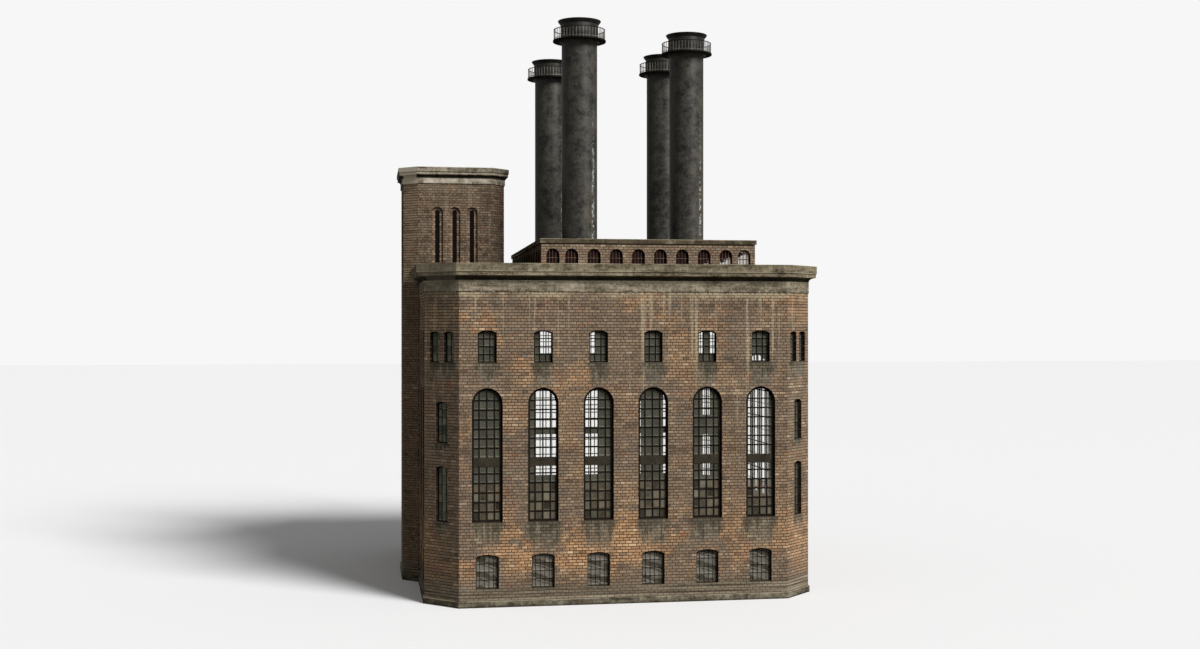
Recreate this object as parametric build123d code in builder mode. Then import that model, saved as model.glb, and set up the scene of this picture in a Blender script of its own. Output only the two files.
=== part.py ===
"""Brick power house: a cut-corner block with a tower, a roof house and four chimneys.

Millimetres, +Z up. The origin is the centre of the block's plan, on the ground.
The front looks along -Y, the right side along +X, and the tower stands in the left side.
"""
from build123d import *
import os
from collections import namedtuple
from math import cos, radians, sin, sqrt

os.makedirs("parts", exist_ok=True)

Opening = namedtuple("Opening", "width sill springing rise")

# Main block
bay = 3658
front_bays = 6
side_bays = 2
block_depth = 28000
corner_cut = 2120
wall_thickness = 600
plinth_height = 420
plinth_projection = 100

# Levels above the ground
ground_slab = 300
hall_floor_top = 4600
upper_floor_top = 15000
floor_slab = 350
frieze_bottom = 20480
frieze_height = 750
frieze_projection = 50

# Main cornice
cove_height = 310
cove_projection = 450
lower_fascia_height = 250
lower_fascia_projection = 500
upper_fascia_height = 540
cornice_projection = 560
parapet_thickness = 300
roof_slab_thickness = 300
cove_steps = 4

# Windows of the block
lower_width = 1500
lower_sill = 1180
lower_springing = 3245
lower_rise = 175
tall_width = 2000
tall_sill = 5510
tall_springing = 13220
spandrel_bottom = 9100
spandrel_height = 590
upper_width = 1230
upper_sill = 15860
upper_springing = 17800
upper_rise = 170
corner_width = 1050
corner_lower_sill = 5460
corner_lower_springing = 8950
corner_middle_sill = 10600
corner_middle_springing = 13150
corner_rise = 150
corner_upper_width = 840
corner_upper_spacing = 1240
corner_upper_rise = 90
great_width = 8400
great_sill = 5450
great_springing = 15350
great_rise = 800
great_lights = 8
great_rows = 5
well_depth = 2600

# Frames and glass
reveal = 200
frame_bar = 70
frame_depth = 60
great_bar = 110
mullion_bar = 60
glass_thickness = 10
spandrel_thickness = 40
fitting_gap = 4

# Tower
tower_width = 7250
tower_depth = 7250
tower_cut = 1040
tower_projection = 1125
tower_wall = 450
tower_frieze_bottom = 28450
tower_frieze_height = 390
tower_frieze_projection = 80
tower_cove_height = 230
tower_cove_projection = 260
tower_lower_fascia_height = 220
tower_lower_fascia_projection = 300
tower_upper_fascia_height = 320
tower_cornice_projection = 350
tower_parapet = 200
tower_roof_slab = 250
slot_spacing = 1235
slots_per_side = 3
recess_width = 780
recess_crown = 26780
recess_depth = 150
slot_width = 320
slot_crown = 26580
slot_sill = 22800
slot_panel_thickness = 60

# Roof house
house_width = 15015
house_depth = 19400
house_centre = 2423
house_wall = 400
house_top = 24230
house_fall = 240
coping_height = 300
coping_projection = 100
coping_width = 500
house_roof_slab = 200
arch_width = 900
arch_sill = 22200
arch_crown = 23550
end_arch_spacing = 1300
front_arch_margin = 786
side_arch_margin = 1429.5
front_arches = 8
side_arches = 10
house_reveal = 120
house_frame_bar = 50

# Chimneys
chimney_left = -2200
chimney_right = 6250
left_pair_y = 7900
right_pair_y = 4300
shaft_radius = 1237
shaft_wall = 130
neck_radius = 1320
rim_radius = 1500
chimney_top = 39480
rim_height = 30
flare_height = 240
flange_radius = 1420
flange_height = 60
deck_radius = 1850
deck_drop = 1440
deck_thickness = 90
deck_gap = 5
roof_hole_gap = 20
rail_radius = 1800
rail_height = 750
rail_bar = 50
rail_posts = 16

# What follows from these sizes
front_flat = front_bays * bay
block_width = front_flat + 2 * corner_cut
side_flat = block_depth - 2 * corner_cut
frieze_top = frieze_bottom + frieze_height
roof_top = frieze_top + roof_slab_thickness
cornice_top = frieze_top + cove_height + lower_fascia_height + upper_fascia_height
tower_left = -block_width / 2 - tower_projection
tower_x = tower_left + tower_width / 2
tower_frieze_top = tower_frieze_bottom + tower_frieze_height
house_left = house_centre - house_width / 2
flue_radius = shaft_radius - shaft_wall
flare_top = chimney_top - rim_height
flare_bottom = flare_top - flare_height
deck_bottom = chimney_top - deck_drop
deck_top = deck_bottom + deck_thickness
rail_top = deck_top + rail_height
block_plan = (block_width, block_depth, corner_cut)
tower_plan = (tower_width, tower_depth, tower_cut)

lower_window = Opening(lower_width, lower_sill, lower_springing, lower_rise)
tall_window = Opening(tall_width, tall_sill, tall_springing, tall_width / 2)
upper_window = Opening(upper_width, upper_sill, upper_springing, upper_rise)
corner_lower = Opening(corner_width, corner_lower_sill, corner_lower_springing, corner_rise)
corner_middle = Opening(corner_width, corner_middle_sill, corner_middle_springing, corner_rise)
corner_upper = Opening(corner_upper_width, upper_sill, upper_springing, corner_upper_rise)
great_window = Opening(great_width, great_sill, great_springing, great_rise)
recess = Opening(recess_width, slot_sill, recess_crown - recess_width / 2, recess_width / 2)
slot = Opening(slot_width, slot_sill, slot_crown - slot_width / 2, slot_width / 2)
house_arch = Opening(arch_width, arch_sill, arch_crown - arch_width / 2, arch_width / 2)


def facing(angle, x, y):
    """Upright plane on a wall's outer face: its x runs to the right, its y runs up."""
    out = (cos(radians(angle)), sin(radians(angle)), 0)
    right = (-out[1], out[0], 0)
    return Plane(origin=(x, y, 0), x_dir=right, z_dir=out)


class CutCornerPlan(BaseSketchObject):
    """Rectangle with 45 degree corners, grown by the same distance on every side."""

    def __init__(self, width, depth, cut, grow=0, mode=Mode.ADD):
        with BuildSketch() as outline:
            Rectangle(width + 2 * grow, depth + 2 * grow)
            chamfer(outline.vertices(), cut + grow * (2 - sqrt(2)))
        super().__init__(outline.sketch, 0, None, mode)


class ArchedShape(BaseSketchObject):
    """Opening with a circular head, grown by the same distance at its sides and head."""

    def __init__(self, opening, grow=0, bottom=None, mode=Mode.ADD):
        half = opening.width / 2
        radius = (half**2 + opening.rise**2) / (2 * opening.rise)
        centre = opening.springing + opening.rise - radius
        side = half + grow
        spring = centre + sqrt(max((radius + grow) ** 2 - side**2, 0))
        crown = opening.springing + opening.rise + grow
        foot = opening.sill if bottom is None else bottom
        with BuildSketch() as shape:
            with BuildLine():
                Polyline((-side, spring), (-side, foot), (side, foot), (side, spring))
                ThreePointArc((-side, spring), (0, crown), (side, spring))
            make_face()
        super().__init__(shape.sketch, 0, None, mode)


def save(piece, name):
    """Label a finished piece and write it."""
    piece.part.label = name
    export_step(piece.part, f"parts/{name}.step")


# Faces of the block, and where its windows stand along them
front = facing(-90, 0, -block_depth / 2)
right = facing(0, block_width / 2, 0)
back = facing(90, 0, block_depth / 2)
left = facing(180, -block_width / 2, 0)
front_places = [(i - (front_bays - 1) / 2) * bay for i in range(front_bays)]
near_places = [-side_flat / 2 + (i + 0.5) * bay for i in range(side_bays)]
side_places = near_places + [-place for place in near_places]
standard_bays = [(face, x) for face in (front, back) for x in front_places]
standard_bays += [(face, x) for face in (right, left) for x in side_places]

corner_x = (block_width - corner_cut) / 2
corner_y = (block_depth - corner_cut) / 2
corner_faces = [
    facing(angle, side_x * corner_x, side_y * corner_y)
    for angle, side_x, side_y in ((-45, 1, -1), (45, 1, 1), (135, -1, 1), (-135, -1, -1))
]
corner_pair = (-corner_upper_spacing / 2, corner_upper_spacing / 2)
mitre = wall_thickness * (sqrt(2) - 1)
upper_sites = [(face, x, upper_window) for face, x in standard_bays]
upper_sites += [(face, x, corner_upper) for face in corner_faces for x in corner_pair]
tall_sites = [(face, x, tall_window) for face, x in standard_bays]
tall_sites += [(face, 0, opening) for face in corner_faces for opening in (corner_lower, corner_middle)]
lower_sites = [(face, x, lower_window) for face, x in standard_bays]


# Plinth, floors and roof slab
with BuildPart() as plinth:
    with BuildSketch():
        CutCornerPlan(*block_plan, plinth_projection)
        CutCornerPlan(*block_plan, -wall_thickness, mode=Mode.SUBTRACT)
        with Locations((tower_x, 0)):
            CutCornerPlan(*tower_plan, plinth_projection, mode=Mode.SUBTRACT)
    extrude(amount=plinth_height)
save(plinth, "plinth")

with BuildPart() as tower_plinth:
    with BuildSketch():
        with Locations((tower_x, 0)):
            CutCornerPlan(*tower_plan, plinth_projection)
            CutCornerPlan(*tower_plan, -tower_wall, mode=Mode.SUBTRACT)
    extrude(amount=plinth_height)
save(tower_plinth, "tower_plinth")

with BuildPart() as ground_floor:
    with BuildSketch():
        CutCornerPlan(*block_plan, -wall_thickness)
        with Locations((tower_x, 0)):
            CutCornerPlan(*tower_plan, plinth_projection, mode=Mode.SUBTRACT)
            CutCornerPlan(*tower_plan, -tower_wall)
    extrude(amount=ground_slab)
save(ground_floor, "ground_floor")

with BuildPart() as hall_floor:
    with BuildSketch(Plane.XY.offset(hall_floor_top - floor_slab)):
        CutCornerPlan(*block_plan, -wall_thickness)
        with Locations((tower_x, 0)):
            CutCornerPlan(*tower_plan, mode=Mode.SUBTRACT)
    extrude(amount=floor_slab)
save(hall_floor, "hall_floor")

with BuildPart() as upper_floor:
    with BuildSketch(Plane.XY.offset(upper_floor_top - floor_slab)):
        CutCornerPlan(*block_plan, -wall_thickness)
        with Locations((tower_x, 0)):
            CutCornerPlan(*tower_plan, mode=Mode.SUBTRACT)
        with Locations((block_width / 2 - wall_thickness - well_depth / 2, 0)):
            Rectangle(well_depth, great_width, mode=Mode.SUBTRACT)
    extrude(amount=floor_slab)
save(upper_floor, "upper_floor")

with BuildPart() as roof_slab:
    with BuildSketch(Plane.XY.offset(frieze_top)):
        CutCornerPlan(*block_plan, -parapet_thickness)
        with Locations((tower_x, 0)):
            CutCornerPlan(*tower_plan, mode=Mode.SUBTRACT)
    extrude(amount=roof_slab_thickness)
save(roof_slab, "roof_slab")


# Brick walls of the block
def pierced_wall(face, spans, openings):
    """Upright wall with mitred ends: a span is its start, end, start mitre and end mitre."""
    level = (plinth_height + frieze_bottom) / 2
    height = frieze_bottom - plinth_height
    with BuildPart() as wall:
        for start, end, start_mitre, end_mitre in spans:
            with BuildSketch(face):
                with Locations(((start + end) / 2, level)):
                    Rectangle(end - start, height)
            with BuildSketch(face.offset(-wall_thickness)):
                with Locations(((start + start_mitre + end - end_mitre) / 2, level)):
                    Rectangle(end - end_mitre - start - start_mitre, height)
            loft()
        with BuildSketch(face):
            for x, opening in openings:
                with Locations((x, 0)):
                    ArchedShape(opening)
        extrude(amount=-wall_thickness, mode=Mode.SUBTRACT)
    return wall


def bay_openings(places):
    """The three windows of each bay."""
    return [(x, opening) for x in places for opening in (lower_window, tall_window, upper_window)]


half_front = front_flat / 2
half_side = side_flat / 2
half_great = great_width / 2
half_tower = tower_depth / 2
far_places = [-place for place in near_places]

for name, face in (("front_wall", front), ("back_wall", back)):
    span = (-half_front, half_front, mitre, mitre)
    save(pierced_wall(face, [span], bay_openings(front_places)), name)

near_span = (-half_side, -half_great, mitre, 0)
far_span = (half_great, half_side, 0, mitre)
save(pierced_wall(right, [near_span], bay_openings(near_places)), "right_wall_front")
save(pierced_wall(right, [far_span], bay_openings(far_places)), "right_wall_rear")
centre_span = (-half_great, half_great, 0, 0)
save(pierced_wall(right, [centre_span], [(0, great_window)]), "right_wall_centre")

left_spans = [(-half_side, -half_tower, mitre, 0), (half_tower, half_side, 0, mitre)]
save(pierced_wall(left, left_spans, bay_openings(side_places)), "left_wall")

corner_openings = [(0, corner_lower), (0, corner_middle)] + [(x, corner_upper) for x in corner_pair]
half_corner = corner_cut * sqrt(2) / 2
with BuildPart() as corner_walls:
    for face in corner_faces:
        corner = pierced_wall(face, [(-half_corner, half_corner, mitre, mitre)], corner_openings)
        add(corner.part)
save(corner_walls, "corner_walls")


# Frieze and cornice, which stop against the tower
def cornice_mass(plan, centre_x, bottom, inner, cove, lower, upper):
    """Cornice of a coved soffit and two upright bands; each size is a height and a projection."""
    with BuildPart() as mass:
        for step in range(cove_steps):
            start, end = step / cove_steps, (step + 1) / cove_steps
            for share in (start, end):
                reach = cove[2] + (cove[1] - cove[2]) * (1 - sqrt(1 - share**2))
                with BuildSketch(Plane.XY.offset(bottom + cove[0] * share)):
                    with Locations((centre_x, 0)):
                        CutCornerPlan(*plan, reach)
            loft()
        level = bottom + cove[0]
        for height, projection in (lower, upper):
            with BuildSketch(Plane.XY.offset(level)):
                with Locations((centre_x, 0)):
                    CutCornerPlan(*plan, projection)
            extrude(amount=height)
            level += height
        with BuildSketch(Plane.XY.offset(bottom)):
            with Locations((centre_x, 0)):
                CutCornerPlan(*plan, -inner)
        extrude(amount=level - bottom, mode=Mode.SUBTRACT)
    return mass


with BuildPart() as frieze:
    with BuildSketch(Plane.XY.offset(frieze_bottom)):
        CutCornerPlan(*block_plan, frieze_projection)
        CutCornerPlan(*block_plan, -wall_thickness, mode=Mode.SUBTRACT)
        with Locations((tower_x, 0)):
            CutCornerPlan(*tower_plan, mode=Mode.SUBTRACT)
    extrude(amount=frieze_height)
save(frieze, "frieze")

main_mass = cornice_mass(
    block_plan,
    0,
    frieze_top,
    parapet_thickness,
    (cove_height, cove_projection, frieze_projection),
    (lower_fascia_height, lower_fascia_projection),
    (upper_fascia_height, cornice_projection),
)
with BuildPart() as cornice:
    add(main_mass.part)
    with BuildSketch(Plane.XY.offset(frieze_top)):
        with Locations((tower_x, 0)):
            CutCornerPlan(*tower_plan)
    extrude(amount=cornice_top - frieze_top, mode=Mode.SUBTRACT)
save(cornice, "cornice")


# Window frames, and one pane of glass behind each
def frames(sites, setback, bar, depth):
    """Frame set back in every opening, seated on its sill."""
    with BuildPart() as rings:
        for face, x, opening in sites:
            with BuildSketch(face.offset(-setback)):
                with Locations((x, 0)):
                    ArchedShape(opening, -fitting_gap)
                    ArchedShape(opening, -fitting_gap - bar, opening.sill + bar, mode=Mode.SUBTRACT)
        extrude(amount=-depth)
    return rings


def panes(sites, setback):
    """Glass against the back of each frame, seated on the same sill."""
    with BuildPart() as glass:
        for face, x, opening in sites:
            with BuildSketch(face.offset(-setback)):
                with Locations((x, 0)):
                    ArchedShape(opening, -fitting_gap)
        extrude(amount=-glass_thickness)
    return glass


for name, sites in (("lower", lower_sites), ("tall", tall_sites), ("upper", upper_sites)):
    save(frames(sites, reveal, frame_bar, frame_depth), f"{name}_window_frames")
    save(panes(sites, reveal + frame_depth), f"{name}_window_glass")

with BuildPart() as spandrels:
    for face, x in standard_bays:
        with BuildSketch(face.offset(-reveal - frame_depth)):
            with Locations((x, spandrel_bottom + spandrel_height / 2)):
                Rectangle(tall_width - 2 * (fitting_gap + frame_bar), spandrel_height)
    extrude(amount=spandrel_thickness)
save(spandrels, "tall_window_spandrels")

great_half = half_great - fitting_gap - great_bar
with BuildPart() as great_frame:
    with BuildSketch(right.offset(-reveal)):
        ArchedShape(great_window, -fitting_gap)
        ArchedShape(great_window, -fitting_gap - great_bar, great_sill + great_bar, mode=Mode.SUBTRACT)
    extrude(amount=-great_bar)
    with BuildSketch(right.offset(-reveal)):
        with Locations((0, (great_sill + great_springing + great_rise) / 2)):
            with GridLocations(2 * great_half / great_lights, 0, great_lights - 1, 1):
                Rectangle(mullion_bar, great_springing + great_rise - great_sill)
        with Locations((0, (great_sill + great_springing) / 2)):
            with GridLocations(0, (great_springing - great_sill) / great_rows, 1, great_rows + 1):
                Rectangle(2 * great_half, mullion_bar)
        ArchedShape(great_window, -fitting_gap - great_bar, great_sill + great_bar, mode=Mode.INTERSECT)
    extrude(amount=-great_bar)
save(great_frame, "great_window_frame")
save(panes([(right, 0, great_window)], reveal + great_bar), "great_window_glass")


# Tower
tower_front = facing(-90, tower_x, -tower_depth / 2)
tower_right = facing(0, tower_x + tower_width / 2, 0)
tower_back = facing(90, tower_x, tower_depth / 2)
tower_outer = facing(180, tower_x - tower_width / 2, 0)
slot_places = [(i - (slots_per_side - 1) / 2) * slot_spacing for i in range(slots_per_side)]
tower_mitre = tower_wall * (sqrt(2) - 1)
tower_sides = (
    ("tower_front_wall", tower_front, tower_width),
    ("tower_right_wall", tower_right, tower_depth),
    ("tower_back_wall", tower_back, tower_width),
    ("tower_left_wall", tower_outer, tower_depth),
)
tower_level = (plinth_height + tower_frieze_bottom) / 2
tower_rise = tower_frieze_bottom - plinth_height

for name, face, length in tower_sides:
    flat = length - 2 * tower_cut
    with BuildPart() as tower_side:
        with BuildSketch(face):
            with Locations((0, tower_level)):
                Rectangle(flat, tower_rise)
        with BuildSketch(face.offset(-tower_wall)):
            with Locations((0, tower_level)):
                Rectangle(flat - 2 * tower_mitre, tower_rise)
        loft()
        with BuildSketch(face):
            with Locations([(x, 0) for x in slot_places]):
                ArchedShape(recess)
        extrude(amount=-recess_depth, mode=Mode.SUBTRACT)
        with BuildSketch(face):
            with Locations([(x, 0) for x in slot_places]):
                ArchedShape(slot)
        extrude(amount=-tower_wall, mode=Mode.SUBTRACT)
    save(tower_side, name)

half_post = tower_cut * sqrt(2) / 2
with BuildPart() as tower_corners:
    for angle, side_x, side_y in ((-45, 1, -1), (45, 1, 1), (135, -1, 1), (-135, -1, -1)):
        post_x = tower_x + side_x * (tower_width - tower_cut) / 2
        face = facing(angle, post_x, side_y * (tower_depth - tower_cut) / 2)
        with BuildSketch(face):
            with Locations((0, tower_level)):
                Rectangle(2 * half_post, tower_rise)
        with BuildSketch(face.offset(-tower_wall)):
            with Locations((0, tower_level)):
                Rectangle(2 * (half_post - tower_mitre), tower_rise)
        loft()
save(tower_corners, "tower_corners")

with BuildPart() as slot_panels:
    for name, face, length in tower_sides:
        with BuildSketch(face.offset(-recess_depth - slot_panel_thickness)):
            with Locations([(x, 0) for x in slot_places]):
                ArchedShape(slot, -fitting_gap)
    extrude(amount=-slot_panel_thickness)
save(slot_panels, "tower_slot_panels")

with BuildPart() as tower_frieze:
    with BuildSketch(Plane.XY.offset(tower_frieze_bottom)):
        with Locations((tower_x, 0)):
            CutCornerPlan(*tower_plan, tower_frieze_projection)
            CutCornerPlan(*tower_plan, -tower_wall, mode=Mode.SUBTRACT)
    extrude(amount=tower_frieze_height)
save(tower_frieze, "tower_frieze")

tower_cornice = cornice_mass(
    tower_plan,
    tower_x,
    tower_frieze_top,
    tower_parapet,
    (tower_cove_height, tower_cove_projection, tower_frieze_projection),
    (tower_lower_fascia_height, tower_lower_fascia_projection),
    (tower_upper_fascia_height, tower_cornice_projection),
)
save(tower_cornice, "tower_cornice")

with BuildPart() as tower_roof:
    with BuildSketch(Plane.XY.offset(tower_frieze_top)):
        with Locations((tower_x, 0)):
            CutCornerPlan(*tower_plan, -tower_parapet)
    extrude(amount=tower_roof_slab)
save(tower_roof, "tower_roof")


# Roof house: its walls, roof and coping fall gently to the back
house_right = house_left + house_width
house_half = house_depth / 2
inner_half = house_half - house_wall
slope = house_fall / (house_depth + 2 * coping_projection)


def sloped(depth, y):
    """Height of a plane that lies this far under the coping's top."""
    return house_top - depth - slope * (y + house_half + coping_projection)


def sloped_slab(x, width, y_start, y_end, under, thickness=None):
    """Slab along the fall, or a wall down to the roof slab when it has no thickness."""
    if thickness is None:
        foot_start = foot_end = roof_top
    else:
        foot_start = sloped(under + thickness, y_start)
        foot_end = sloped(under + thickness, y_end)
    with BuildPart() as slab:
        with BuildSketch(Plane.YZ.offset(x)):
            with BuildLine():
                Polyline(
                    (y_start, foot_start),
                    (y_end, foot_end),
                    (y_end, sloped(under, y_end)),
                    (y_start, sloped(under, y_start)),
                    close=True,
                )
            make_face()
        extrude(amount=width)
    return slab


def arch_places(inner_arches, wall_length, margin):
    """Arches evenly spaced between the margins, with one more nearer by at each end."""
    reach = wall_length / 2 - margin - end_arch_spacing
    arch_spacing = 2 * reach / (inner_arches - 1)
    places = [i * arch_spacing - reach for i in range(inner_arches)]
    return [places[0] - end_arch_spacing] + places + [places[-1] + end_arch_spacing]


def arched_walls(slabs, sites):
    """Walls of the roof house with their arched windows cut through."""
    with BuildPart() as walls:
        for slab in slabs:
            add(slab.part)
        for face, x in sites:
            with BuildSketch(face):
                with Locations((x, 0)):
                    ArchedShape(house_arch)
        extrude(amount=-house_wall, mode=Mode.SUBTRACT)
    return walls


house_front = facing(-90, house_centre, -house_half)
house_back = facing(90, house_centre, house_half)
house_right_face = facing(0, house_right, 0)
house_left_face = facing(180, house_left, 0)
front_places = arch_places(front_arches, house_width, front_arch_margin)
side_places = arch_places(side_arches, house_depth, side_arch_margin)
front_sites = [(house_front, x) for x in front_places]
back_sites = [(house_back, x) for x in front_places]
side_sites = [(face, x) for face in (house_right_face, house_left_face) for x in side_places]

front_slab = sloped_slab(house_left, house_width, -house_half, -inner_half, coping_height)
save(arched_walls([front_slab], front_sites), "roof_house_front_wall")
back_slab = sloped_slab(house_left, house_width, inner_half, house_half, coping_height)
save(arched_walls([back_slab], back_sites), "roof_house_back_wall")
side_slabs = [
    sloped_slab(x, house_wall, -inner_half, inner_half, coping_height)
    for x in (house_left, house_right - house_wall)
]
save(arched_walls(side_slabs, side_sites), "roof_house_side_walls")

coping_slab = sloped_slab(
    house_left - coping_projection,
    house_width + 2 * coping_projection,
    -house_half - coping_projection,
    house_half + coping_projection,
    0,
    coping_height,
)
coping_inset = coping_width - coping_projection
with BuildPart() as coping:
    add(coping_slab.part)
    with BuildSketch(Plane.XY.offset(roof_top)):
        with Locations((house_centre, 0)):
            Rectangle(house_width - 2 * coping_inset, house_depth - 2 * coping_inset)
    extrude(amount=house_top - roof_top, mode=Mode.SUBTRACT)
save(coping, "roof_house_coping")

chimneys = (
    ("chimney_front_left", chimney_left, -left_pair_y),
    ("chimney_back_left", chimney_left, left_pair_y),
    ("chimney_front_right", chimney_right, -right_pair_y),
    ("chimney_back_right", chimney_right, right_pair_y),
)
chimney_places = [(x, y) for name, x, y in chimneys]

roof_slope = sloped_slab(
    house_left + coping_inset,
    house_width - 2 * coping_inset,
    -house_half + coping_inset,
    house_half - coping_inset,
    coping_height - house_roof_slab,
    house_roof_slab,
)
with BuildPart() as house_roof:
    add(roof_slope.part)
    with BuildSketch(Plane.XY.offset(roof_top)):
        with Locations(chimney_places):
            Circle(shaft_radius + roof_hole_gap)
    extrude(amount=house_top - roof_top, mode=Mode.SUBTRACT)
save(house_roof, "roof_house_roof")

house_windows = [(face, x, house_arch) for face, x in front_sites + back_sites + side_sites]
save(frames(house_windows, house_reveal, house_frame_bar, frame_depth), "roof_house_window_frames")
save(panes(house_windows, house_reveal + frame_depth), "roof_house_glass")


# Chimneys, each an open flue with a gallery near its top
for name, x, y in chimneys:
    with BuildPart() as chimney:
        with BuildSketch(Plane.XZ.offset(-y)):
            with BuildLine():
                Polyline(
                    (x + flue_radius, roof_top),
                    (x + shaft_radius, roof_top),
                    (x + shaft_radius, deck_bottom - flange_height),
                    (x + flange_radius, deck_bottom - flange_height),
                    (x + flange_radius, deck_bottom),
                    (x + neck_radius, deck_bottom),
                    (x + neck_radius, flare_bottom),
                    (x + rim_radius, flare_top),
                    (x + rim_radius, chimney_top),
                    (x + flue_radius, chimney_top),
                    close=True,
                )
            make_face()
        revolve(axis=Axis((x, y, 0), (0, 0, 1)))
    save(chimney, name)

with BuildPart() as galleries:
    with BuildSketch(Plane.XY.offset(deck_bottom)):
        with Locations(chimney_places):
            Circle(deck_radius)
            Circle(neck_radius + deck_gap, mode=Mode.SUBTRACT)
    extrude(amount=deck_thickness)
save(galleries, "chimney_galleries")

with BuildPart() as railings:
    with BuildSketch(Plane.XY.offset(deck_top)):
        with Locations(chimney_places):
            with PolarLocations(rail_radius - rail_bar / 2, rail_posts):
                Rectangle(rail_bar, rail_bar)
    extrude(amount=rail_top - rail_bar - deck_top)
    with BuildSketch(Plane.XY.offset(rail_top - rail_bar)):
        with Locations(chimney_places):
            Circle(rail_radius)
            Circle(rail_radius - rail_bar, mode=Mode.SUBTRACT)
    extrude(amount=rail_bar)
save(railings, "chimney_railings")
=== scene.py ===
"""Looks of a brick power house: bricks, cut stone, steel windows, chimneys and their galleries.

Metres, +Z up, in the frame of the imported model.
"""

import math
from collections import namedtuple
from functools import cached_property

import bpy
import numpy as np
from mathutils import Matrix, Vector


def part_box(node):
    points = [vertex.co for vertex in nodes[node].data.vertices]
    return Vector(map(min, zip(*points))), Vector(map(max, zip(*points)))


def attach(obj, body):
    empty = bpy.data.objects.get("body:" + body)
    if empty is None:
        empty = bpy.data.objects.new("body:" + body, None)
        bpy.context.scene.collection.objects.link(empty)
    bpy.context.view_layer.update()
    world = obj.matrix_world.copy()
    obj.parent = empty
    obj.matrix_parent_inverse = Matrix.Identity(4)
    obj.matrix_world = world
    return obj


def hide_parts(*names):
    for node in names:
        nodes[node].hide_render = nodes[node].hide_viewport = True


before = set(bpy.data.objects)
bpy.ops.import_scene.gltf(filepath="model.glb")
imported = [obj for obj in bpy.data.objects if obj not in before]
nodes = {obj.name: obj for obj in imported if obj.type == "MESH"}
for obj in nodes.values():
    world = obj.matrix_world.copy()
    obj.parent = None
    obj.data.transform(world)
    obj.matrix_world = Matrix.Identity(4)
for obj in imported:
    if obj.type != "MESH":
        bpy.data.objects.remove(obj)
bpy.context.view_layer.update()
random_tones = np.random.default_rng(7)


def low(node):
    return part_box(node)[0]


def high(node):
    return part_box(node)[1]


# Levels and widths of the building
plinth_top = high("plinth").z
wall_top = high("front_wall").z
cornice_low = low("cornice").z
cornice_top = high("cornice").z
half_width = high("right_wall_front").x
half_depth = high("back_wall").y
half_front = high("front_wall").x
half_side = high("right_wall_rear").y
tower_left = low("tower_left_wall").x
tower_right = high("tower_right_wall").x
tower_half = high("tower_back_wall").y
tower_x = (tower_left + tower_right) / 2
tower_flat = high("tower_front_wall").x - low("tower_front_wall").x
tower_top = high("tower_front_wall").z
house_left, house_right = low("roof_house_front_wall").x, high("roof_house_front_wall").x
house_half = high("roof_house_back_wall").y
house_x = (house_left + house_right) / 2
roof_top = high("roof_slab").z
deck_top = high("chimney_galleries").z
shaft_radius = 1.237
rail_top = high("chimney_railings").z
chimney_nodes = [f"chimney_{end}_{side}" for end in ("front", "back") for side in ("left", "right")]
chimney_places = [((low(name) + high(name)) / 2).to_2d() for name in chimney_nodes]

# Windows: width, sill, springing, rise of the head, panes across, and height of a pane
Opening = namedtuple("Opening", "width sill springing rise across pane")
bay = 3.658
lower_window = Opening(1.5, 1.18, 3.245, 0.175, 5, 0.53)
tall_window = Opening(2.0, 5.51, 13.22, 1.0, 4, 0.62)
upper_window = Opening(1.23, 15.86, 17.8, 0.17, 3, 0.51)
corner_lower = Opening(1.05, 5.46, 8.95, 0.15, 3, 0.6)
corner_middle = Opening(1.05, 10.6, 13.15, 0.15, 3, 0.54)
corner_upper = Opening(0.84, 15.86, 17.8, 0.09, 2, 0.5)
great_window = Opening(8.4, 5.45, 15.35, 0.8, 8, 0.99)
slot_recess = Opening(0.78, 22.8, 26.39, 0.39, 1, 1.0)
house_arch = Opening(0.9, 22.2, 23.1, 0.45, 4, 0.7)
corner_pair = (-0.62, 0.62)
slot_places = (-1.235, 0.0, 1.235)
spandrel_low = low("tall_window_spandrels").z
spandrel_high = high("tall_window_spandrels").z
reveal = 0.2
frame_bar = 0.074
frame_depth = 0.06
house_reveal = 0.12

# Brickwork: height of a course, length of a brick with its joint, the joints, and how pale it is
Bond = namedtuple("Bond", "course pitch bed_joint cross_joint tone")
block_courses = 103
small_courses = 113
block_bond = Bond((wall_top - plinth_top) / block_courses, 0.42, 0.042, 0.03, 0.5)
small_bond = Bond((wall_top - plinth_top) / small_courses, 0.36, 0.036, 0.026, 0.5)
house_bond = small_bond._replace(tone=0.62)
# Darkest tone: painted shade on the roof house's side walls
painted_shade_bond = small_bond._replace(tone=0.0)
# Paler tone: painted light on the tower's shaded left chamfers above the roof
painted_light_bond = small_bond._replace(tone=0.95)
dull_bond = small_bond._replace(tone=0.22)
uneven_length = 0.15
brick_edge = 0.007
brick_stand = 0.011
brick_root = 0.003

Face = namedtuple("Face", "x y angle")
front = Face(0, -half_depth, -90)
back = Face(0, half_depth, 90)
right = Face(half_width, 0, 0)
left = Face(-half_width, 0, 180)
front_places = [(i - 2.5) * bay for i in range(6)]
near_places = [-half_side + (i + 0.5) * bay for i in range(2)]
side_places = near_places + [-place for place in near_places]
corner_cut = half_width - half_front
half_corner = corner_cut / math.sqrt(2)
corner_x = half_width - corner_cut / 2
corner_y = half_depth - corner_cut / 2


def diagonal_faces(middle_x, away_x, away_y):
    """Four faces at 45 degrees round a middle, from the right front one on to the left front one."""
    sides = ((-45, 1, -1), (45, 1, 1), (135, -1, 1), (-135, -1, -1))
    return [Face(middle_x + side_x * away_x, side_y * away_y, angle) for angle, side_x, side_y in sides]


corners = diagonal_faces(0, corner_x, corner_y)


# Points on walls
def on_wall(face, along, level, out=0.0):
    """A point this far along a wall to the right, at this level, this far out of its face."""
    turn = math.radians(face.angle)
    out_x, out_y = math.cos(turn), math.sin(turn)
    return (face.x - out_y * along + out_x * out, face.y + out_x * along + out_y * out, level)


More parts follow.
